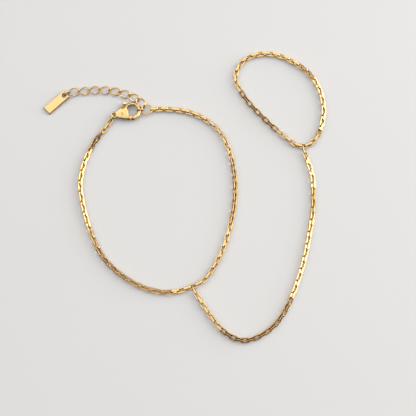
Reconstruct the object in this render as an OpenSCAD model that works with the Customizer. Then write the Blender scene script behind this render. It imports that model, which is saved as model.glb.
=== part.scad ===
// Hand chain bracelet lying closed on a table: a wrist chain with a lobster clasp and an
// extender, a strand along the back of the hand, and a finger loop.
// Millimetres. The table is z = 0, +X is to the right and +Y away from the viewer.

/* [Fine chain] */
// Outer length of a link
link_len = 2.54; // [2.5:0.02:2.8]
// Outer width of a link
link_w = 1.6; // [1.6:0.02:1.9]
// Width of the flat wire that the links are made of
band_w = 0.54; // [0.44:0.02:0.56]
// Wall of a link at its two ends
end_wall = 0.25; // [0.2:0.01:0.28]
// Wall of a link along its two sides
side_wall = 0.36; // [0.25:0.01:0.36]
// Play between neighbouring links of the wrist chain
wrist_play = 0.3; // [0.24:0.01:0.36]
// Play between neighbouring links of the hand strand
hand_play = 0.23; // [0.2:0.01:0.3]
// Play between neighbouring links of the finger loop
finger_play = 0.28; // [0.22:0.01:0.34]

/* [Joining links] */
// Outer length of the link that ties the hand strand to a loop
join_len = 2.7; // [2.5:0.05:3.2]
// Wall of a joining link
join_wall = 0.4; // [0.3:0.02:0.45]
// Width of a joining link's wire
join_band = 0.36; // [0.3:0.02:0.4]
// Lean of a joining link about its own length, in degrees
join_roll = 15; // [0:1:18]
// Place of the hand strand along the wrist chain, as a share of its length
join_share = 0.48; // [0.4:0.01:0.55]

/* [Rings] */
// Outer diameter of the end ring
end_ring_d = 3.6; // [3.2:0.1:4.4]
// Wire of the end ring
end_ring_wire = 0.42; // [0.36:0.02:0.5]
// Height of the end ring's middle above the chain's
ring_rise = 0.1; // [0:0.01:0.12]
// Wire of the ring on the clasp's hook
catch_ring_wire = 0.32; // [0.24:0.02:0.36]
// Play of the hook and the end ring inside the ring that joins them
catch_play = 0.24; // [0.2:0.02:0.5]
// Outer length of the ring in the clasp's eye
tail_ring_len = 2.5; // [2.3:0.1:3.2]
// Outer width of the ring in the clasp's eye
tail_ring_w = 2.1; // [2.1:0.05:2.3]
// Wire of the ring in the clasp's eye
tail_ring_wire = 0.36; // [0.26:0.02:0.4]
// Outer length of the ring in the tag
tag_ring_len = 2.3; // [2.2:0.05:2.6]
// Outer width of the ring in the tag
tag_ring_w = 1.65; // [1.65:0.05:2]
// Wire of the ring in the tag
tag_ring_wire = 0.3; // [0.24:0.02:0.3]

/* [Clasp] */
// Distance from the eye to the middle of the opening inside the hook
hook_x = 5.75; // [5.5:0.05:6.5]
// Outer radius of the hook
hook_r = 2.7; // [2.6:0.05:2.8]
// Thickness of the hook
hook_t = 1.7; // [1.2:0.05:1.8]
// How far the middle of the hook lies from the middle of its opening, toward the eye
hook_back = 0.1; // [0:0.05:0.2]
// How far the opening lies toward the side with the thumb nub
hole_side = 0.25; // [0:0.05:0.3]
// Wall of the hook at its nose
hook_wall = 0.8; // [0.7:0.02:0.9]
// Thickness of the clasp at its thickest
clasp_t = 2.3; // [2.2:0.05:2.8]
// Outer radius of the eye
eye_r = 1.05; // [0.95:0.05:1.2]
// Bore of the eye, as a radius
eye_bore_r = 0.6; // [0.5:0.02:0.65]
// Thickness of the eye
eye_t = 0.8; // [0.7:0.05:0.8]
// Thickness of the lever
lever_t = 0.86; // [0.7:0.02:0.95]
// Gap between the thumb nub and the body
nub_gap = 0.14; // [0.1:0.02:0.3]
// Radius of the thumb nub
nub_r = 0.52; // [0.4:0.02:0.54]
// How much longer than wide the thumb nub is
nub_long = 0.2; // [0:0.05:0.3]
// Height of the thumb nub
nub_t = 1.6; // [1.2:0.1:1.8]
// Radius of the rivet
rivet_r = 0.3; // [0.2:0.02:0.36]
// Angle that the lever opens through, in degrees
lever_open = 20; // [12:1:22]

/* [Extender] */
// Number of links in the extender
ext_count = 8; // [6:1:8]
// Outer length of an extender link
ext_len = 4.05; // [3.9:0.05:4.2]
// Outer width of an extender link
ext_w = 2.6; // [2.4:0.05:3]
// Wire of an extender link
ext_wire = 0.4; // [0.34:0.02:0.42]
// Twist of an extender link from its middle to each end, in degrees
ext_twist = 45; // [40:1:50]

/* [Tag] */
// Length of the tag
tag_len = 8.3; // [6:0.1:12]
// Width of the tag
tag_w = 3; // [2.4:0.1:4]
// Thickness of the tag
tag_t = 0.8; // [0.6:0.05:0.8]
// Radius of the hole in the tag
tag_hole_r = 0.75; // [0.6:0.05:0.8]
// Metal left between the hole and the end of the tag
tag_rim = 0.3; // [0.25:0.05:0.4]
// Bevel along the edges of the tag
tag_bevel = 0.2; // [0.1:0.05:0.25]

/* [Hidden] */
$fn = 48;
GOLD = "#E9BE62";
PALE_GOLD = "#F3D890";
// Clearance where one piece passes through another
fit = 0.1;
// Gap between the plates of the clasp and its lever, and round the rivet
slide = 0.07;
// Steps of a route between two of its chosen points
CURVE_STEPS = 12;

// Chosen places: the end ring, and the direction of the clasp
END_RING_AT = [-11.93, 26.1];
CLASP_TURN = 12;
// Direction from the hook to the end ring, and from the eye to the wrist chain's last link
RING_TURN = 9;
TAIL_TURN = 240;
// Thickness of the hook where the ring bears on it
NOSE_T = 0.8;
// Place of the last extender link around the end ring
EXT_TURN = 132;
// Directions of the tag's ring and of the tag, away from the extender
TAG_RING_TURN = 219;
TAG_TURN = 222.5;

// Points that the wrist chain passes, from the end ring clockwise to the clasp
WRIST_ROUTE = [[-6, 26.3], [0.8, 25.4], [6.7, 22.6], [10.8, 18.5], [13.5, 12.5], [14.9, 5.5],
    [15, -2], [13.9, -9.3], [11.7, -17], [8.4, -23.6], [4.5, -28], [-3.5, -30.7], [-10, -30],
    [-16, -27.4], [-21.5, -23.2], [-25.5, -18.2], [-29.4, -9], [-31.6, 0.3], [-31.5, 5.2],
    [-30.2, 10.5], [-27.5, 16], [-25.2, 19.2]];
// Points that the hand strand passes, from the wrist chain to the finger loop
HAND_ROUTE = [[7.5, -37.5], [11.7, -42.4], [16.7, -44.8], [21.7, -43.7], [26.6, -40.1],
    [30.3, -34.5], [33.2, -27.6], [35.4, -20.8], [37.1, -13.2], [38.4, -5.4], [38.6, 2.4],
    [38.2, 6]];
// Points that the finger loop passes, from the hand strand anticlockwise
FINGER_ROUTE = [[35.9, 14.1], [37.3, 14.7], [38.7, 15.3], [39.2, 15.9], [40.4, 17.7], [41.4, 20],
    [42.2, 23.2], [42.5, 26.8], [41.4, 32.8], [38, 38.4], [32.6, 42.4], [29.3, 43.9], [25.7, 44.6],
    [22.4, 44.3], [19.2, 43.2], [17.1, 41.2], [15.8, 38.7], [15.4, 36.7], [15.6, 35.2],
    [16.2, 33.7], [18.2, 30.3], [21, 26.6], [27, 20.4], [31.9, 16.1], [33.2, 15], [34.9, 14.4]];
// Points that the extender passes, from the tag to the end ring
EXT_ROUTE = [[-40, 30.9], [-34.8, 31.8], [-29.1, 32.5], [-26, 32.6], [-22.9, 32.3],
    [-19.7, 31.6], [-15.05, 29.63], [-14.58, 29.29]];

// How each chain lies: share of its length, roll of its links in degrees, relative spacing
WRIST_LIE = [[0, 0, 0.92], [0.12, 5, 0.9], [0.2, 30, 1.04], [0.3, 35, 1.06], [0.42, 20, 1.05],
    [0.46, 0, 1.06], [0.49, 0, 1.06], [0.58, 40, 1.03], [0.7, 45, 1.05], [0.8, 45, 0.96],
    [0.94, 45, 0.93], [0.985, 5, 0.93], [1, 0, 0.93]];
HAND_LIE = [[0, 0, 0.92], [0.1, 20, 0.88], [0.2, 30, 0.91], [0.33, 35, 1], [0.5, 35, 1.05],
    [0.85, 45, 1.05], [0.95, 25, 1.04], [1, 0, 1.03]];
FINGER_LIE = [[0, 0, 0.96], [0.05, 0, 0.98], [0.13, 30, 1.01], [0.25, 30, 0.98], [0.4, 5, 0.94],
    [0.5, 0, 0.94], [0.6, 5, 1], [0.75, 40, 1.06], [0.88, 40, 1.03], [0.98, 0, 0.98], [1, 0, 0.96]];
// How the extender's links lie, as roll in degrees and extra height: the last one and the one
// before it at the end ring, and the first one at the tag
LAST_LIE = [14, 0.22];
NEXT_LIE = [2, 0.09];
FIRST_LIE = [15, 0.2];

// Derived sizes
link_slot = link_len - 2 * end_wall;
slot_w = link_w - 2 * side_wall;
lean_h = band_w / 2 / cos(join_roll) + join_band / 2 * tan(join_roll);
join_w = 2 * (join_wall + fit + lean_h);
join_h = join_w * cos(join_roll) + join_band * sin(join_roll);
chain_z = max(norm([link_w, band_w]), join_h) / 2;
wrist_pitch = link_slot - wrist_play;
hand_pitch = link_slot - hand_play;
finger_pitch = link_slot - finger_play;
nose_r = hook_r - hook_back;
hole_r = nose_r - hook_wall;
catch_ring_d = hook_wall + end_ring_wire + 2 * catch_ring_wire + 2 * fit + catch_play;
clasp_z = max(clasp_t, catch_ring_d) / 2;
slot_t = lever_t + 2 * slide;

function polar(r, a) = [r * cos(a), r * sin(a)];
function turn_of(v) = atan2(v.y, v.x);
function column(table, share, c) = lookup(share, [for (row = table) [row[0], row[c]]]);

// Point on a smooth curve between b and c, with a and d as their neighbours
function bend(a, b, c, d, t) = 0.5 * (2 * b + (c - a) * t
    + (2 * a - 5 * b + 4 * c - d) * t * t + (3 * b - a - 3 * c + d) * t * t * t);

// Smooth curve through the points of a route
function curve(P, closed) = let (n = len(P), last = closed ? n - 1 : n - 2)
    [for (i = [0 : last], j = [0 : CURVE_STEPS - 1])
        let (a = closed ? P[(i + n - 1) % n] : i == 0 ? 2 * P[0] - P[1] : P[i - 1],
            d = closed ? P[(i + 2) % n] : i == n - 2 ? 2 * P[n - 1] - P[n - 2] : P[i + 2])
        bend(a, P[i], P[(i + 1) % n], d, j / CURVE_STEPS),
    closed ? P[0] : P[n - 1]];

// Path: a table of x by length, a table of y by length, and the whole length
function path_of(P, closed = false) = let (C = curve(P, closed), n = len(C),
    S = [for (i = 0, s = 0; i < n; s = s + (i + 1 < n ? norm(C[i + 1] - C[i]) : 0), i = i + 1) s])
    [[for (i = [0 : n - 1]) [S[i], C[i].x]], [for (i = [0 : n - 1]) [S[i], C[i].y]], S[n - 1]];
function path_point(path, s) = [lookup(s, path[0]), lookup(s, path[1])];

// Joints of a chain: the places where its links meet, spaced as its table says
function joints_of(path, count, lie, closed = false) = let (
    gaps = [for (k = [0 : count - 1]) column(lie, (k + 0.5) / count, 2)],
    sums = [for (k = 0, s = 0; k <= count; s = s + (k < count ? gaps[k] : 0), k = k + 1) s],
    scale_s = path[2] / sums[count],
    shift = closed ? gaps[0] / 2 : 0)
    [for (k = [0 : count]) let (s = (sums[k] - shift) * scale_s)
        path_point(path, s < 0 ? s + path[2] : s)];

// Frame of a link: its middle, its direction and its roll
function link_frame(J, k, lie, first_roll) = let (count = len(J) - 1)
    [(J[k] + J[k + 1]) / 2, turn_of(J[k + 1] - J[k]),
     column(lie, (k + 0.5) / count, 1) + first_roll + (k % 2 == 0 ? 0 : 90)];

// Ends of the chains, worked out from the rings and links that they hang on
end_ring_r = (end_ring_d - end_ring_wire) / 2;
hook_middle = END_RING_AT - polar(nose_r + fit + end_ring_wire / 2 + end_ring_r, RING_TURN);
eye_at = hook_middle - polar(hook_x, CLASP_TURN);
catch_ring_at = hook_middle
    + polar(hole_r + reach(catch_ring_d, catch_ring_d, catch_ring_wire, NOSE_T), RING_TURN);
wrist_start = END_RING_AT + [end_ring_r - end_ring_wire / 2 - fit + link_slot / 2 - wrist_pitch / 2, 0];
// Distance from the middle of a ring to the edge of a plate that hangs in its end, where the
// plate's middle is dz above or below the ring's
function reach(ring_len, w, wire, plate_t, dz = 0) = (ring_len - w) / 2
    + sqrt(max(0, pow(w / 2 - wire - fit, 2) - pow(plate_t / 2 + abs(dz), 2)));
// Distance from the middle of a ring to the first joint of a chain that hangs in its end
function hang(edge, pitch) = edge - end_wall + link_len / 2 - pitch / 2;
tail_ring_z = tail_ring_w / 2;
tail_ring_at = eye_at + polar(eye_bore_r
    + reach(tail_ring_len, tail_ring_w, tail_ring_wire, eye_t, clasp_z - tail_ring_z), TAIL_TURN);
wrist_end = tail_ring_at + polar(hang(
    reach(tail_ring_len, tail_ring_w, tail_ring_wire, band_w, chain_z - tail_ring_z), wrist_pitch),
    TAIL_TURN);

wrist_path = path_of(concat([wrist_start], WRIST_ROUTE, [wrist_end]));
wrist_count = 2 * round(wrist_path[2] / wrist_pitch / 2);
WRIST_JOINTS = joints_of(wrist_path, wrist_count, WRIST_LIE);
wrist_held = 2 * round((wrist_count * join_share - 1) / 2) + 1;
wrist_hold = link_frame(WRIST_JOINTS, wrist_held, WRIST_LIE, 90);

finger_path = path_of(FINGER_ROUTE, true);
finger_count = 2 * round(finger_path[2] / finger_pitch / 2);
FINGER_JOINTS = joints_of(finger_path, finger_count, FINGER_LIE, true);
finger_hold = link_frame(FINGER_JOINTS, 0, FINGER_LIE, 0);

// Directions of the joining links, away from the loops
wrist_join_turn = wrist_hold[1] + 90;
finger_join_turn = finger_hold[1] - 80;
join_at = slot_w / 2 - fit + join_len / 2 - join_wall;
wrist_join_at = wrist_hold[0] + polar(join_at, wrist_join_turn);
finger_join_at = finger_hold[0] + polar(join_at, finger_join_turn);
hand_hang = hang(join_len / 2 - join_wall - fit, hand_pitch);
hand_path = path_of(concat([wrist_join_at + polar(hand_hang, wrist_join_turn)], HAND_ROUTE,
    [finger_join_at + polar(hand_hang, finger_join_turn)]));
hand_count = 2 * round((hand_path[2] / hand_pitch - 1) / 2) + 1;
HAND_JOINTS = joints_of(hand_path, hand_count, HAND_LIE);

// Extender, counted back from the end ring
ext_pitch = ext_len - 2 * ext_wire - fit;
ext_hold = END_RING_AT + polar(end_ring_r, EXT_TURN);
ext_path = path_of(concat(EXT_ROUTE, [ext_hold]));
ext_a = (ext_len - ext_wire) / 2;
ext_b = (ext_w - ext_wire) / 2;
ext_z = ext_wire / 2 + 0.46;
ext_last = ext_path[2] - ext_a + (ext_wire + end_ring_wire) / 2 + fit;
function ext_middle(k) = path_point(ext_path, ext_last - (ext_count - k) * ext_pitch);
function ext_lie(k) = k == ext_count ? LAST_LIE : k == ext_count - 1 ? NEXT_LIE
    : k == 1 ? FIRST_LIE : [0, 0];
function ext_turn(k) = turn_of(
    path_point(ext_path, ext_last - (ext_count - k - 0.5) * ext_pitch)
    - path_point(ext_path, ext_last - (ext_count - k + 0.5) * ext_pitch));

// Tag, hung on the first extender link
tag_hang = ext_middle(1) - polar(ext_a, ext_turn(1));
tag_ring_z = tag_ring_w / 2;
tag_ring_at = tag_hang
    + polar(tag_ring_len / 2 - tag_ring_wire - ext_wire / 2 - 0.37, TAG_RING_TURN);
tag_reach = reach(tag_ring_len, tag_ring_w, tag_ring_wire, tag_t);
tag_hole_at = tag_ring_at + polar(tag_reach + tag_hole_r - 0.06, TAG_RING_TURN);
// Height of the tag's underside at the end with the hole; the far end rests on the table
tag_lift = (tag_ring_z - tag_t / 2) * tag_len / (tag_len - tag_rim);
tag_tilt = asin(tag_lift / tag_len);

// Flat-wire link: a band bent into a long ring, drawn lying flat about its own middle
module flat_link(len, w, band, wall_end, wall_side) {
    linear_extrude(band, center = true) difference() {
        intersection() {
            square([len, w], center = true);
            circle(r = len / 2 + 0.05);
        }
        intersection() {
            square([len - 2 * wall_end, w - 2 * wall_side], center = true);
            circle(r = len / 2 - wall_end + 0.08);
        }
    }
}

// A whole chain of flat-wire links
module chain(J, lie, first_roll) {
    for (k = [0 : len(J) - 2]) {
        frame = link_frame(J, k, lie, first_roll);
        translate([frame[0].x, frame[0].y, chain_z]) rotate([0, 0, frame[1]])
            rotate([frame[2], 0, 0]) flat_link(link_len, link_w, band_w, end_wall, side_wall);
    }
}

module joining_link(at, turn) {
    color(GOLD) translate([at.x, at.y, chain_z]) rotate([0, 0, turn]) rotate([90 + join_roll, 0, 0])
        flat_link(join_len, join_w, join_band, join_wall, join_wall);
}

// Round-wire ring lying flat
module round_ring(d, wire) {
    rotate_extrude() translate([(d - wire) / 2, 0]) circle(d = wire, $fn = 24);
}

// Round-wire oval ring lying flat, long along X
module oval_ring(len, w, wire) {
    half = (len - w) / 2;
    for (side = [0, 180]) rotate([0, 0, side]) {
        translate([half, 0, 0]) rotate([0, 0, -90]) rotate_extrude(angle = 180)
            translate([(w - wire) / 2, 0]) circle(d = wire, $fn = 24);
        translate([-half, (w - wire) / 2, 0]) rotate([0, 90, 0])
            cylinder(d = wire, h = 2 * half, $fn = 24);
    }
}

module end_ring() {
    color(PALE_GOLD) translate([END_RING_AT.x, END_RING_AT.y, chain_z + ring_rise])
        round_ring(end_ring_d, end_ring_wire);
}

module catch_ring() {
    color(GOLD) translate([catch_ring_at.x, catch_ring_at.y, clasp_z]) rotate([0, 0, RING_TURN])
        rotate([90, 0, 0]) round_ring(catch_ring_d, catch_ring_wire);
}

module clasp_tail_ring() {
    color(GOLD) translate([tail_ring_at.x, tail_ring_at.y, tail_ring_z]) rotate([0, 0, TAIL_TURN])
        rotate([90, 0, 0]) oval_ring(tail_ring_len, tail_ring_w, tail_ring_wire);
}

// Clasp: sizes in its own frame, with the eye at the origin and the hook along +X
hole_left = hook_x - 0.75 * hole_r;
neck_x = 0.6;
neck_r = 0.76 * eye_r;
PIVOT = [2.5, -0.5];
hub_r = 0.75;
neck_half = 0.28;
NUB_TURN = 70.6;
// Widest place of the body, its height at the edge there, and the crown where it is thickest
body_x = 3.4;
body_r = 2;
body_edge_t = 1.44;
crown_x = 3.8;
crown_r = 1;
// Width of the bevel along the edges of the clasp
edge = 0.3;
// Slope of the hook's faces toward its nose
NOSE_SLOPE = 9;
// The slanted seam between the gate and the tip of the hook
seam_at = [hook_x - 0.25, hole_side - hole_r - 0.75 * hook_wall];
SEAM_TURN = 40;
// Slope of the body's outline beside the nub, and the nub's distance from the rivet
side_turn = asin((hook_r - body_r) / (hook_x - hook_back - body_x));
nub_reach = (body_r + nub_gap + nub_r + sin(side_turn) * (PIVOT.x - body_x)
    - cos(side_turn) * PIVOT.y) / sin(NUB_TURN - side_turn);

module clasp_place() {
    translate([eye_at.x, eye_at.y, clasp_z]) rotate([0, 0, CLASP_TURN]) children();
}

module disc(r, t) cylinder(r = r, h = t, center = true, $fn = 48);

module clasp_body() {
    color(PALE_GOLD) clasp_place() difference() {
        union() {
            hull() {
                translate([neck_x, 0, 0]) disc(neck_r, eye_t);
                translate([neck_x, 0, 0]) disc(neck_r - edge / 2, eye_t + 0.7 * edge);
                translate([body_x, 0, 0]) disc(body_r, body_edge_t);
                translate([crown_x, 0, 0]) disc(crown_r, clasp_t);
                translate([hook_x - hook_back, 0, 0]) disc(hook_r, hook_t - 2 * edge);
                translate([hook_x - hook_back, 0, 0]) disc(hook_r - edge, hook_t);
            }
            disc(eye_r, eye_t);
        }
        disc(eye_bore_r, 2 * clasp_t);
        clasp_hole();
        nose_taper();
        linear_extrude(slot_t, center = true) lever_pocket();
        translate([PIVOT.x, PIVOT.y, 0]) disc(rivet_r + 0.01, 2 * clasp_t);
    }
}

// D-shaped opening inside the hook, with the gap for the gate
module clasp_hole() {
    linear_extrude(2 * clasp_t, center = true) {
        intersection() {
            translate([hook_x, hole_side]) circle(r = hole_r);
            translate([hole_left, -hook_r]) square(2 * hook_r);
        }
        clasp_mouth();
    }
}

// Slopes that thin the hook toward its nose, and a bevel inside it, where the ring hangs
module nose_taper() {
    for (side = [1, -1]) scale([1, 1, side]) {
        translate([hook_x - 0.4, -hook_r, hook_t / 2]) rotate([0, NOSE_SLOPE, 0])
            cube([2 * hook_r, 2 * hook_r, hook_t]);
        intersection() {
            translate([hook_x, hole_side, 0.17]) cylinder(r1 = hole_r - 0.2, r2 = hole_r + 0.8, h = 1);
            translate([hook_x + 0.8, -hook_r, 0]) cube([hook_r, 2 * hook_r, clasp_t]);
        }
    }
}

// Gap that the gate closes, cut on a slant at the tip of the hook
module clasp_mouth() {
    near = seam_at - polar(1.5 * hook_wall + fit, SEAM_TURN);
    far = seam_at + polar(hook_wall, SEAM_TURN);
    polygon([[hole_left, -hole_r / 2], [hole_left, near.y], near, far, [far.x, -hole_r / 2]]);
}

// Room inside the body for the lever over its whole travel
module lever_pocket() {
    room = neck_half + slide;
    open_turn = NUB_TURN + lever_open;
    translate(PIVOT) {
        circle(r = hub_r + 2 * slide);
        polygon([polar(room, NUB_TURN - 90), polar(room, NUB_TURN - 90) + polar(4, NUB_TURN),
            polar(room, open_turn + 90) + polar(4, open_turn), polar(room, open_turn + 90)]);
        polygon([[0, 0], polar(4, -125), polar(6, -62), polar(4, lever_open)]);
    }
}

// Lever: hub, gate and neck between the plates, with a thicker gate end and thumb nub outside
module clasp_lever() {
    gate_end = seam_at + polar(0.08, SEAM_TURN + 90);
    low = gate_end - polar(0.7 * hook_wall, SEAM_TURN);
    high = gate_end + polar(0.66 * hook_wall, SEAM_TURN);
    front = hole_left + fit;
    gate_y = seam_at.y;
    color(PALE_GOLD) clasp_place() difference() {
        union() {
            linear_extrude(lever_t, center = true) {
                translate(PIVOT) circle(r = hub_r);
                translate(PIVOT) rotate(NUB_TURN) translate([0, -neck_half])
                    square([nub_reach, 2 * neck_half]);
                polygon([PIVOT + polar(0.85 * hub_r, 220), PIVOT + polar(1.6 * hub_r, 295),
                    [front, gate_y + 0.05], low, high, [front + 0.45, gate_y + 0.45],
                    [front, gate_y + 0.65], PIVOT + polar(0.95 * hub_r, 8)]);
            }
            linear_extrude(1.4, center = true)
                polygon([[front, gate_y + 0.65], [front, gate_y - 0.15], low, high,
                    [front + 0.45, gate_y + 0.5]]);
            translate(PIVOT) rotate(NUB_TURN) hull() for (out = [0, nub_long])
                translate([nub_reach + out, 0, 0]) {
                    disc(nub_r, nub_t - edge);
                    disc(nub_r - edge / 2, nub_t);
                }
        }
        translate([PIVOT.x, PIVOT.y, 0]) disc(rivet_r + 0.04, clasp_t);
    }
}

module clasp_rivet() {
    color(GOLD) clasp_place() translate([PIVOT.x, PIVOT.y, 0]) disc(rivet_r, 1.9);
}

// Extender link: an oval of round wire, twisted about its length
module twisted_link() {
    sides = 6;
    steps = 16;
    function wire_at(a) = let (c = cos(a), s = sin(a),
        x = ext_a * sign(c) * pow(abs(c), 0.85), y = ext_b * sign(s) * pow(abs(s), 0.85),
        tw = ext_twist * x / ext_a)
        [x, y * cos(tw), y * sin(tw)];
    points = [for (i = [0 : steps - 1])
        let (a = 360 * (i + 0.5) / steps, p = wire_at(a), along = wire_at(a + 2) - wire_at(a - 2),
            t = along / norm(along), side = cross(t, p), b = side / norm(side), out = cross(b, t))
        for (j = [0 : sides - 1]) let (v = 360 * j / sides)
            p + ext_wire / 2 * (out * cos(v) + b * sin(v))];
    faces = [for (i = [0 : steps - 1], j = [0 : sides - 1])
        let (m = (i + 1) % steps, n = (j + 1) % sides)
        for (f = [[i * sides + j, m * sides + n, i * sides + n],
                [i * sides + j, m * sides + j, m * sides + n]]) f];
    polyhedron(points = points, faces = faces);
}

module extender_link(k) {
    at = ext_middle(k);
    color(GOLD) translate([at.x, at.y, ext_z + ext_lie(k)[1]]) rotate([0, 0, ext_turn(k)])
        rotate([ext_lie(k)[0], 0, 0]) twisted_link();
}

module tag_ring() {
    color(GOLD) translate([tag_ring_at.x, tag_ring_at.y, tag_ring_z]) rotate([0, 0, TAG_RING_TURN])
        rotate([90, 0, 0]) oval_ring(tag_ring_len, tag_ring_w, tag_ring_wire);
}

// Tag: bevelled plate with a hole, resting on its far end and lifted by its ring
module tag() {
    color(PALE_GOLD) translate([tag_hole_at.x, tag_hole_at.y, 0]) rotate([0, 0, TAG_TURN])
        translate([-tag_hole_r - tag_rim, 0, tag_lift]) rotate([0, tag_tilt, 0]) difference() {
            hull() {
                translate([0, -tag_w / 2, tag_bevel]) cube([tag_len, tag_w, tag_t - 2 * tag_bevel]);
                translate([tag_bevel, tag_bevel - tag_w / 2, 0])
                    cube([tag_len - 2 * tag_bevel, tag_w - 2 * tag_bevel, tag_t]);
            }
            translate([tag_hole_r + tag_rim, 0, -tag_t]) cylinder(r = tag_hole_r, h = 3 * tag_t);
        }
}

module wrist_chain() color(GOLD) chain(WRIST_JOINTS, WRIST_LIE, 90);
module hand_chain() color(GOLD) chain(HAND_JOINTS, HAND_LIE, 0);
module finger_chain() color(GOLD) chain(FINGER_JOINTS, FINGER_LIE, 0);

wrist_chain();
hand_chain();
finger_chain();
joining_link(wrist_join_at, wrist_join_turn);  // wrist_joining_link
joining_link(finger_join_at, finger_join_turn);  // finger_joining_link
end_ring();
catch_ring();
clasp_tail_ring();
clasp_body();
clasp_lever();
clasp_rivet();
for (k = [1 : ext_count])
    extender_link(k);
tag_ring();
tag();
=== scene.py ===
# %% [markdown]
# A hand chain bracelet lies on a pale table: a wrist chain closed by a lobster clasp, an
# extender with a small tag, a strand along the back of the hand, and a finger loop. The solids
# of the model are loaded first. They fix every size and place, and this script only gives each
# piece its finer surface and its gold.

# %% Load the solids and note their box
import math
import bpy
import bmesh
import numpy as np
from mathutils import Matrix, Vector


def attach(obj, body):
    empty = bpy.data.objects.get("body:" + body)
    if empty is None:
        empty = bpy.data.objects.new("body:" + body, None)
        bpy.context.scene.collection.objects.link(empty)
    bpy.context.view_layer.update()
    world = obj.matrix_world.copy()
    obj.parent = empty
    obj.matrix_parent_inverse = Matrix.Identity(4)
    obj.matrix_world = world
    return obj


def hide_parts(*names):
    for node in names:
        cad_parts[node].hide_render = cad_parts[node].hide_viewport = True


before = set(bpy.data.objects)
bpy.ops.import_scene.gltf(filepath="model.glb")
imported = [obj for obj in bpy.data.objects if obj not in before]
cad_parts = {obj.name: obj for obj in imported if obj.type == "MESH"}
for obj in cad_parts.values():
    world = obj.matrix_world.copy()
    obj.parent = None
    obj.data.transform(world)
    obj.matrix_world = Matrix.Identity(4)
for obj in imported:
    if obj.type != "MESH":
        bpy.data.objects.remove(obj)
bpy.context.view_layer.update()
MM = 0.001

# %% [markdown]
# The photograph looks down steeply, about 75 degrees above the table, from in front of the
# bracelet. Lines that run away from the viewer draw together very little, so the lens is long
# and the camera stands about 30 cm away. Both were worked out from how much of the clasp's side
# shows and from how the far chain compares with the near one.

# %% Camera
PHOTO_SIDE = 416  # pixels
FOCAL_LENGTH = 1000  # pixels
ELEVATION = math.radians(75.5)
DISTANCE = 0.3  # metres from the target
TARGET = Vector((6.9 * MM, -5.2 * MM, 0.9 * MM))

camera = bpy.data.objects.new("camera", bpy.data.cameras.new("camera"))
bpy.context.collection.objects.link(camera)
camera.data.lens = camera.data.sensor_width * FOCAL_LENGTH / PHOTO_SIDE
camera.location = TARGET + DISTANCE * Vector((0, -math.cos(ELEVATION), math.sin(ELEVATION)))
camera.rotation_euler = (math.pi / 2 - ELEVATION, 0, 0)
bpy.context.scene.camera = camera
print("camera at", [round(v / MM) for v in camera.location], "mm")

# %% [markdown]
# A finish is a small graph of nodes. One function turns a hex colour, as a colour picker shows
# it, into the linear values that the shader wants. Another adds a node with its settings and
# the links into it, so that each finish below reads as a short list.

# %% From a hex colour to linear values
def linear(hex_colour):
    """An sRGB hex colour as linear red, green, blue and alpha, by the sRGB curve: a straight
    line near black and a power of 2.4 above it."""
    c = np.array([int(hex_colour[i:i + 2], 16) / 255 for i in (1, 3, 5)])
    c = np.where(c <= 0.04045, c / 12.92, ((c + 0.055) / 1.055) ** 2.4)
    return (*c.tolist(), 1.0)


print("the table's grey in linear values:", np.round(linear("#DFE3E4"), 3).tolist())

# %% Helpers for finishes
def add_node(tree, kind, settings=None, **inputs):
    """Adds a node. settings are its properties, inputs its socket values or links."""
    node = tree.nodes.new(kind)
    for name, value in (settings or {}).items():
        setattr(node, name, value)
    for name, value in inputs.items():
        socket = node.inputs[name.replace("_", " ")]
        if isinstance(value, bpy.types.NodeSocket):
            tree.links.new(value, socket)
        else:
            socket.default_value = value
    return node


def new_finish(name):
    """A new material and its node tree, still without any node."""
    material = bpy.data.materials.new(name)
    material.use_nodes = True
    material.node_tree.nodes.clear()
    return material, material.node_tree


def finish_surface(tree, shader):
    """Sends the shader to the surface of the material."""
    out = tree.nodes.new("ShaderNodeOutputMaterial")
    tree.links.new(shader.outputs["BSDF"], out.inputs["Surface"])

# %% [markdown]
# The metal is brass with a thin plating of pale gold, tumbled to a bright polish. Polished metal
# has no colour of its own in shade: it shows what stands around it, tinted by the gold, and
# where gold mirrors gold the tint deepens to orange. What makes it look real is the small
# unevenness that tumbling leaves, so the roughness varies in soft patches about 0.6 mm across
# and a faint ripple bends the reflections. Shade is painted into the recesses: where other metal
# stands close, the gold's colour goes over to a warm brown, which gives the slots of the links
# their dark, warm edge. On the clasp and the rings, whose corners are wider, the painted shade
# is darker and reaches farther. The chain is drawn and bent wire, so it ripples more than the
# cast clasp and the stamped tag.

# %% Gold finishes
PATCH = 0.6 * MM  # size of the patches of better and worse polish
RIPPLE_LENGTH, RIPPLE_DEPTH = 1.4 * MM, 0.05 * MM
NOISE_LOW, NOISE_HIGH = 0.3, 0.7  # the noise stays mostly between these
BEST_POLISH, WORST_POLISH = 0.75, 1.3  # times the mean roughness
# the painted shade in recesses is whole below the first open share and gone above the second
SHADE_WHOLE, SHADE_GONE = 0.35, 0.85  # open share of the surroundings


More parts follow.
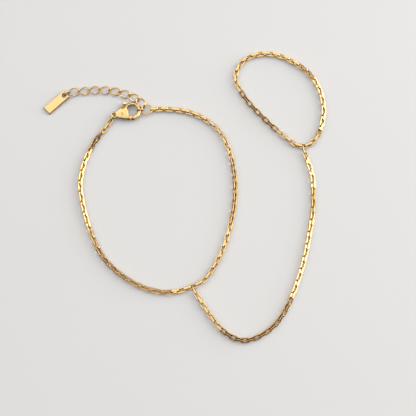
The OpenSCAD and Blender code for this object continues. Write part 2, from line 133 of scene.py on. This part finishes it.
def gold_plating(name, deep, bright, roughness, ripple, recess, painted_shade="#94500A"):
    """Gold plating whose tint drifts from deep to bright and whose roughness drifts about its
    mean. Where other metal stands within recess millimetres, the open share of the surroundings
    falls, and with it the tint goes over to a dark colour that is painted shade in the recesses."""
    material, tree = new_finish(name)
    place = add_node(tree, "ShaderNodeTexCoord").outputs["Object"]
    patches = add_node(tree, "ShaderNodeTexNoise", Vector=place, Scale=1 / PATCH, Detail=2.0)
    waves = add_node(tree, "ShaderNodeTexNoise", Vector=place, Scale=1 / RIPPLE_LENGTH,
                     Detail=1.0)
    tint = add_node(tree, "ShaderNodeMix", {"data_type": "RGBA"})
    tree.links.new(patches.outputs["Fac"], tint.inputs["Factor"])
    tint.inputs["A"].default_value = linear(deep)
    tint.inputs["B"].default_value = linear(bright)
    polish = add_node(tree, "ShaderNodeMapRange", Value=patches.outputs["Fac"],
                      From_Min=NOISE_LOW, From_Max=NOISE_HIGH,
                      To_Min=roughness * BEST_POLISH, To_Max=roughness * WORST_POLISH)
    bump = add_node(tree, "ShaderNodeBump", Height=waves.outputs["Fac"], Strength=ripple,
                    Distance=RIPPLE_DEPTH)
    shader = add_node(tree, "ShaderNodeBsdfPrincipled", Metallic=1.0,
                      Roughness=polish.outputs["Result"], Normal=bump.outputs["Normal"])
    # Painted shade: where other metal stands near, the gold's tint goes over to a dark brown.
    openness = add_node(tree, "ShaderNodeAmbientOcclusion", {"samples": 8},
                        Distance=recess * MM)
    unshaded = add_node(tree, "ShaderNodeMapRange", Value=openness.outputs["AO"],
                       From_Min=SHADE_WHOLE, From_Max=SHADE_GONE)
    painted_shade_mix = add_node(tree, "ShaderNodeMix", {"data_type": "RGBA"})
    tree.links.new(unshaded.outputs["Result"], painted_shade_mix.inputs["Factor"])
    painted_shade_mix.inputs["A"].default_value = linear(painted_shade)
    tree.links.new(tint.outputs["Result"], painted_shade_mix.inputs["B"])
    tree.links.new(painted_shade_mix.outputs["Result"], shader.inputs["Base Color"])
    finish_surface(tree, shader)
    return material


# a darker painted shade for the wider recesses of the clasp and the rings
DARK_PAINTED_SHADE = "#6B3406"
chain_gold = gold_plating("drawn_wire_gold_plating", "#F0C67E", "#F8DB9A",
                          roughness=0.07, ripple=0.12, recess=0.8)
clasp_gold = gold_plating("cast_gold_plating", "#EBC986", "#F0D296",
                          roughness=0.08, ripple=0.04, recess=3.0, painted_shade=DARK_PAINTED_SHADE)
ring_gold = gold_plating("round_wire_gold_plating", "#F0C67E", "#F8DB9A",
                         roughness=0.07, ripple=0.08, recess=1.2, painted_shade=DARK_PAINTED_SHADE)
print("finishes:", chain_gold.name, clasp_gold.name, ring_gold.name)

# %% [markdown]
# The table is a board in matt pale paint. It throws light back up into the metal, so its tone
# matters for the gold as much as the lamps do. A plain square is enough, far wider than the
# view, so that its edge never shows. Matt paint has no gleam, only a very faint cloudiness.

# %% Table
REACH = 1.5  # metres from the middle of the table to its side
CLOUD = 60 * MM


def painted_board():
    """Matt paint whose grey drifts between two close tones over the size of a cloud."""
    material, tree = new_finish("matt_painted_board")
    place = add_node(tree, "ShaderNodeTexCoord").outputs["Object"]
    cloud = add_node(tree, "ShaderNodeTexNoise", Vector=place, Scale=1 / CLOUD, Detail=3.0)
    tint = add_node(tree, "ShaderNodeMix", {"data_type": "RGBA"})
    tree.links.new(cloud.outputs["Fac"], tint.inputs["Factor"])
    tint.inputs["A"].default_value = linear("#DFE3E4")
    tint.inputs["B"].default_value = linear("#E2E5E6")
    shader = add_node(tree, "ShaderNodeBsdfPrincipled", Roughness=0.85)
    tree.links.new(tint.outputs["Result"], shader.inputs["Base Color"])
    finish_surface(tree, shader)
    return material


table_mesh = bpy.data.meshes.new("table")
square = [(-REACH, -REACH, 0), (REACH, -REACH, 0), (REACH, REACH, 0), (-REACH, REACH, 0)]
table_mesh.from_pydata(square, [], [(0, 1, 2, 3)])
table = bpy.data.objects.new("table", table_mesh)
table_mesh.materials.append(painted_board())
bpy.context.collection.objects.link(table)
print("table is", 2 * REACH, "m wide")

# %% [markdown]
# A broad skylight hangs overhead, where faces that lie flat mirror it to the camera: it makes
# the bright tops of the links, the clasp and the tag. A low window on the right brightens the
# faces that lean that way and lays soft shadows to the left. The room around them is
# warm and dimmer, and dimmest in front, so that faces that lean toward the viewer fall off to a
# deep brown gold.

# %% Light
def soft_window(name, place, size, power, tint="#FFFFFF"):
    """A round lamp at a place in metres that faces the bracelet. Its brightness as seen is its
    power in watts divided by pi and by its area."""
    lamp = bpy.data.objects.new(name, bpy.data.lights.new(name, "AREA"))
    lamp.data.shape = "DISK"
    lamp.data.size = size
    lamp.data.energy = power
    lamp.data.color = linear(tint)[:3]
    lamp.location = place
    lamp.rotation_euler = (Vector((0, 0, 0)) - Vector(place)).to_track_quat("-Z", "Y").to_euler()
    bpy.context.collection.objects.link(lamp)
    print(name, "is", size, "m wide and gives", power, "W")


soft_window("skylight", place=(-0.16, 0.08, 0.7), size=1.45, power=6.0, tint="#EEF5FF")
soft_window("window", place=(0.74, 0.22, 0.33), size=0.9, power=7.2)

# %% [markdown]
# The walls of the room are what the metal mirrors where it leans away from the lamps. They are
# drawn as a gradient from front to back on the world, so that no walls need to be built.

# %% Walls
WALL_IN_FRONT, WALL_BEHIND, WALL_STRENGTH = "#5C3A14", "#DCBC8C", 0.7
# the part of a direction that points back, where the gradient starts and where it ends
FRONT, BACK = -0.3, 0.7

world = bpy.data.worlds.new("studio")
bpy.context.scene.world = world
world.use_nodes = True
tree = world.node_tree
direction = add_node(tree, "ShaderNodeTexCoord").outputs["Generated"]
sides = add_node(tree, "ShaderNodeSeparateXYZ", Vector=direction)
behind = add_node(tree, "ShaderNodeMapRange", Value=sides.outputs["Y"], From_Min=FRONT,
                  From_Max=BACK)
walls = add_node(tree, "ShaderNodeMix", {"data_type": "RGBA"})
tree.links.new(behind.outputs["Result"], walls.inputs["Factor"])
walls.inputs["A"].default_value = linear(WALL_IN_FRONT)
walls.inputs["B"].default_value = linear(WALL_BEHIND)
tree.links.new(walls.outputs["Result"], tree.nodes["Background"].inputs["Color"])
tree.nodes["Background"].inputs["Strength"].default_value = WALL_STRENGTH
bpy.context.scene.view_settings.view_transform = "Standard"
print("walls go from", WALL_IN_FRONT, "in front to", WALL_BEHIND, "behind")

# %% [markdown]
# The finer pieces must lie exactly where the solids lie. A chain is one node that holds many
# loose links, so its triangles are first sorted by the link that they belong to.

# %% Which solid a triangle belongs to
SAME_POINT = 0.002 * MM


def mesh_arrays(node):
    """The points of a node's mesh, and the three point numbers of each triangle."""
    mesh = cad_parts[node].data
    mesh.calc_loop_triangles()
    points = np.empty(len(mesh.vertices) * 3)
    mesh.vertices.foreach_get("co", points)
    corners = np.empty(len(mesh.loop_triangles) * 3, dtype=np.int64)
    mesh.loop_triangles.foreach_get("vertices", corners)
    return points.reshape(-1, 3), corners.reshape(-1, 3)


def solid_numbers(points, corners):
    """The number of the solid that each triangle belongs to. Points on the same spot share a
    label. In each round the corners of a triangle all take the lowest of their labels, until
    nothing changes and each solid has one label."""
    spots = np.round(points / SAME_POINT).astype(np.int64)
    _, same = np.unique(spots, axis=0, return_inverse=True)
    triangles = same.ravel()[corners]
    label = np.arange(same.max() + 1)
    while True:
        lowest = label[triangles].min(axis=1)
        new = label.copy()
        for k in range(3):
            np.minimum.at(new, triangles[:, k], lowest)
        new = new[new]
        if (new == label).all():
            break
        label = new
    _, solid = np.unique(label[triangles[:, 0]], return_inverse=True)
    return solid


CHAINS = ("wrist_chain", "hand_chain", "finger_chain")
for name in CHAINS:
    print(name, "has", solid_numbers(*mesh_arrays(name)).max() + 1, "links")

# %% [markdown]
# Each loose solid's place is read from its own surface: its middle, and three directions at
# right angles, which are the axes of the surface's spread, the longest first. A chain link is
# longest along the chain, then across its slot, then through its band, so these axes say how
# the link lies.

# %% Where each solid lies
def loose_seats(node):
    """Middles and axes of the loose solids in a node. The spread of a triangle with corners a, b,
    c and middle m is its area / 12 times (aa + bb + cc + 9mm), less the solid's own middle."""
    points, corners = mesh_arrays(node)
    solid = solid_numbers(points, corners)
    count = solid.max() + 1
    t = points[corners]
    area = np.linalg.norm(np.cross(t[:, 1] - t[:, 0], t[:, 2] - t[:, 0]), axis=1) / 2
    weight = np.bincount(solid, area, count)

    def summed(values):
        """Values times area, summed over the triangles of each solid."""
        columns = values.reshape(len(values), -1).T
        sums = np.stack([np.bincount(solid, area * column, count) for column in columns], 1)
        return sums.reshape(count, *values.shape[1:])

    middle = t.mean(axis=1)
    centre = summed(middle) / weight[:, None]
    spread = np.einsum("tki,tkj->tij", t, t) + 9 * np.einsum("ti,tj->tij", middle, middle)
    spread = summed(spread) / (12 * weight[:, None, None])
    _, axes = np.linalg.eigh(spread - centre[:, :, None] * centre[:, None, :])
    axes = axes[:, :, ::-1]
    axes[:, :, 2] *= np.sign(np.linalg.det(axes))[:, None]
    return centre, axes


print("end ring's middle in mm:", np.round(loose_seats("end_ring")[0] / MM, 2).tolist())

# %% [markdown]
# Every chain link, ring and wire here is a profile carried round a closed path. The path and
# the profile are arrays of points, so one function can build the whole grid at once: at each
# point of the path it lays the profile across the path's direction.

# %% A profile carried round a path
def carried(path, up, profile):
    """Points of a grid, path x profile. At each path point the profile's first number goes along
    the side, which is the path's direction crossed with up, and its second along the rise, which
    is that side crossed with the direction. Round a path that runs anticlockwise the side points
    outward."""
    along = np.roll(path, -1, axis=0) - np.roll(path, 1, axis=0)
    along /= np.linalg.norm(along, axis=1, keepdims=True)
    side = np.cross(along, up)
    side /= np.linalg.norm(side, axis=1, keepdims=True)
    rise = np.cross(side, along)
    outward, upward = profile[None, :, :1], profile[None, :, 1:]
    return path[:, None] + outward * side[:, None] + upward * rise[:, None]


def closed_grid_faces(rows, columns, copies=1):
    """Four-cornered faces of a grid that is closed both ways, for a number of copies. Each point
    is joined with the next in its row, the next in its column and the one past both, and after
    the last comes the first again."""
    i, j = np.meshgrid(np.arange(rows), np.arange(columns), indexing="ij")
    here, up, right = i * columns, (i + 1) % rows * columns, (j + 1) % columns
    faces = np.stack([here + j, up + j, up + right, here + right], -1).reshape(-1, 4)
    first = np.arange(copies) * rows * columns
    return (faces[None] + first[:, None, None]).reshape(-1, 4)

# %% A grid laid at each seat
def turned(grid, axes):
    """The grid's directions as they point at each seat: each is the sum of the seat's three axes
    times the direction's three numbers."""
    return np.einsum("nij,pj->npi", axes, grid.reshape(-1, 3))


def placed(grid, centre, axes):
    """The grid's points, in millimetres in their own frame, at each seat of a node, in metres."""
    return (turned(grid * MM, axes) + centre[:, None]).reshape(-1, 3)


def new_piece(name, points, faces, finish, node, normals=None):
    """A smooth mesh piece that stands for a node and rides on the bracelet."""
    mesh = bpy.data.meshes.new(name)
    mesh.from_pydata(points.tolist(), [], faces.tolist())
    mesh.shade_smooth()
    if normals is not None:
        mesh.normals_split_custom_set_from_vertices(normals.tolist())
    mesh.materials.append(finish)
    piece = bpy.data.objects.new(name, mesh)
    bpy.context.collection.objects.link(piece)
    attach(piece, "bracelet")
    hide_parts(node)
    print(name, "has", len(mesh.vertices), "points")

# %% [markdown]
# The fine chain is made of flat wire, bent into long links with square ends. A link's outer
# and inner outlines are rectangles with round corners, and its skin runs from one to the other:
# up the outside, across the top, down the inside and back underneath. Tumbling has rounded the
# edges, which is where the small highlights run. The links repeat nearly two hundred times, so
# each has only 96 faces: twelve stations round the link and eight points round the band.

# %% Fine chain links
LINK_LENGTH, LINK_WIDTH, BAND, END_WALL, SIDE_WALL = 2.54, 1.6, 0.54, 0.25, 0.36


def round_rectangle(length, width, corner, steps=3):
    """Points of a rectangle with round corners in the XY plane, and the outward direction at
    each. Each corner is a quarter circle of some steps about the middle of its rounding."""
    signs = np.array([[1, 1], [-1, 1], [-1, -1], [1, -1]])
    middles = signs * (np.array([length, width]) / 2 - corner)
    angle = np.arange(4)[:, None] * np.pi / 2 + np.linspace(0, np.pi / 2, steps)[None]
    outward = np.stack([np.cos(angle), np.sin(angle)], -1)
    return (middles[:, None] + corner * outward).reshape(-1, 2), outward.reshape(-1, 2)


def flat_link(length, width, band, end_wall, side_wall, corner=0.42, edge=0.1):
    """A flat-wire link: its points, and at each point the normal of the flat side that it borders.
    At share f from the outer outline to the inner one and height h, a point is
    (1 - f) outer + f inner. The eight pairs of f and h walk once round the band."""
    outer, outward = round_rectangle(length, width, corner)
    inner, _ = round_rectangle(length - 2 * end_wall, width - 2 * side_wall, corner / 3)
    f = np.array([0, 0, 0.3, 0.8, 1, 1, 0.8, 0.3])[:, None]
    h = np.array([edge, band - edge, band, band, band - edge / 2, edge / 2, 0, 0]) - band / 2
    side = np.array([1, 1, 0, 0, -1, -1, 0, 0])[:, None]
    top = np.array([0, 0, 1, 1, 0, 0, -1, -1])
    rows = (len(outer), len(h), 1)
    heights = np.broadcast_to(h[None, :, None], rows)
    rises = np.broadcast_to(top[None, :, None], rows)
    points = np.concatenate([outer[:, None] * (1 - f) + inner[:, None] * f, heights], axis=-1)
    normals = np.concatenate([outward[:, None] * side, rises], axis=-1)
    return points, normals


link, link_normals = flat_link(LINK_LENGTH, LINK_WIDTH, BAND, END_WALL, SIDE_WALL)
for name in CHAINS:
    centre, axes = loose_seats(name)
    faces = closed_grid_faces(*link.shape[:2], copies=len(centre))
    new_piece(name + "_links", placed(link, centre, axes), faces, chain_gold, name,
              turned(link_normals, axes).reshape(-1, 3))

# %% [markdown]
# The links that tie the hand strand to the two loops are the same flat wire, narrower and
# turned on edge, so that they reach round the side of one link.

# %% Joining links
JOIN_LENGTH, JOIN_WIDTH, JOIN_BAND, JOIN_WALL = 2.7, 1.65, 0.36, 0.4
join, join_normals = flat_link(JOIN_LENGTH, JOIN_WIDTH, JOIN_BAND, JOIN_WALL, JOIN_WALL)
for name in ("wrist_joining_link", "finger_joining_link"):
    centre, axes = loose_seats(name)
    new_piece(name + "_wire", placed(join, centre, axes), closed_grid_faces(*join.shape[:2]),
              chain_gold, name, turned(join_normals, axes).reshape(-1, 3))

# %% [markdown]
# The jump rings are round wire bent into a circle or a short oval and closed. Here the path is
# a racetrack, two half circles with straight sides between, and the profile is a circle.

# %% Round-wire rings
def wire_profile(wire, points=14):
    """A circle of the wire's diameter, x = r cos and y = r sin of evenly spaced angles."""
    angle = np.arange(points) * 2 * np.pi / points
    return wire / 2 * np.stack([np.cos(angle), np.sin(angle)], -1)


def ring_path(length, width, wire, steps=56):
    """The middle of the wire of an oval ring, long along X: a circle whose right half is moved
    to the right and whose left half to the left."""
    radius, half = (width - wire) / 2, (length - width) / 2
    angle = (np.arange(steps) + 0.5) * 2 * np.pi / steps
    shift = np.where(np.cos(angle) > 0, half, -half)
    return np.stack([radius * np.cos(angle) + shift, radius * np.sin(angle), 0 * angle], -1)


# length, width and wire in millimetres, and the slot
RINGS = {
    "end_ring": (3.6, 3.6, 0.42, "polished_gold"),
    "catch_ring": (2.3, 2.3, 0.32, "gold_chain"),
    "clasp_tail_ring": (2.5, 2.1, 0.36, "gold_chain"),
    "tag_ring": (2.3, 1.65, 0.3, "gold_chain"),
}
for name, (length, width, wire, slot) in RINGS.items():
    path = ring_path(length, width, wire)
    up = np.tile([0.0, 0.0, 1.0], (len(path), 1))
    grid = carried(path, up, wire_profile(wire))
    centre, axes = loose_seats(name)
    new_piece(name + "_wire", placed(grid, centre, axes), closed_grid_faces(*grid.shape[:2]),
              ring_gold, name)

# %% [markdown]
# The extender is a curb chain: oval links of round wire, each twisted along its length so that
# the whole chain lies flat. The path is a squared oval whose cross line turns from -45 degrees
# at one end to +45 at the other.

# %% Extender links
EXT_LENGTH, EXT_WIDTH, EXT_WIRE, EXT_TWIST, EXT_COUNT = 4.05, 2.6, 0.4, 45.0, 8
SQUARENESS = 0.85  # 1 for an ellipse, less for fuller corners


def twisted_oval(length, width, wire, twist, steps=48):
    """x = a cos and y = b sin, each to the power of SQUARENESS with its sign kept, and then y is
    turned about X by twist times x / a."""
    a, b = (length - wire) / 2, (width - wire) / 2
    angle = (np.arange(steps) + 0.5) * 2 * np.pi / steps
    x = a * np.sign(np.cos(angle)) * np.abs(np.cos(angle)) ** SQUARENESS
    y = b * np.sign(np.sin(angle)) * np.abs(np.sin(angle)) ** SQUARENESS
    turn = np.radians(twist) * x / a
    return np.stack([x, y * np.cos(turn), y * np.sin(turn)], -1)


path = twisted_oval(EXT_LENGTH, EXT_WIDTH, EXT_WIRE, EXT_TWIST)
along = np.roll(path, -1, axis=0) - np.roll(path, 1, axis=0)
grid = carried(path, np.cross(path, along), wire_profile(EXT_WIRE, points=12))
for k in range(1, EXT_COUNT + 1):
    name = f"extender_link_{k}"
    centre, axes = loose_seats(name)
    new_piece(name + "_wire", placed(grid, centre, axes), closed_grid_faces(*grid.shape[:2]),
              ring_gold, name)

# %% [markdown]
# The clasp is cast and the tag is stamped, and both are tumbled until no edge is sharp. Their
# solids have the right form with crisp edges, so a copy of each is rebuilt from small cubes of
# space, which closes it into one even skin, and then relaxed step by step, which rounds every
# edge as tumbling does. The clasp's body is relaxed most, since its slanted sides would
# otherwise show the steps of the cubes.

# %% Tumbled clasp and tag
def tumbled(name, node, cell, relax, finish, body="bracelet"):
    """A copy of a node's mesh, rebuilt with cells of the given size in mm. Then, relax times
    over, each point moves half way to the mean of its neighbours."""
    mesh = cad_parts[node].data.copy()
    mesh.name = name
    builder = bmesh.new()
    builder.from_mesh(mesh)
    bmesh.ops.remove_doubles(builder, verts=builder.verts, dist=SAME_POINT / 2)
    builder.to_mesh(mesh)
    builder.free()
    mesh.materials.clear()
    mesh.materials.append(finish)
    piece = bpy.data.objects.new(name, mesh)
    bpy.context.collection.objects.link(piece)
    remesh = piece.modifiers.new("even skin", "REMESH")
    remesh.mode = "VOXEL"
    remesh.voxel_size = cell * MM
    remesh.use_smooth_shade = True
    smooth = piece.modifiers.new("tumbling", "SMOOTH")
    smooth.factor = 0.5
    smooth.iterations = relax
    depsgraph = bpy.context.evaluated_depsgraph_get()
    done = bpy.data.meshes.new_from_object(piece.evaluated_get(depsgraph))
    piece.modifiers.clear()
    piece.data = done
    done.shade_smooth()
    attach(piece, body)
    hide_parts(node)
    print(name, "has", len(done.polygons), "faces")


tumbled("cast_clasp_body", "clasp_body", cell=0.045, relax=80, finish=clasp_gold)
tumbled("cast_clasp_lever", "clasp_lever", cell=0.045, relax=14, finish=clasp_gold,
        body="lever")
tumbled("clasp_rivet_head", "clasp_rivet", cell=0.04, relax=2, finish=clasp_gold)
tumbled("stamped_tag", "tag", cell=0.06, relax=3, finish=clasp_gold)
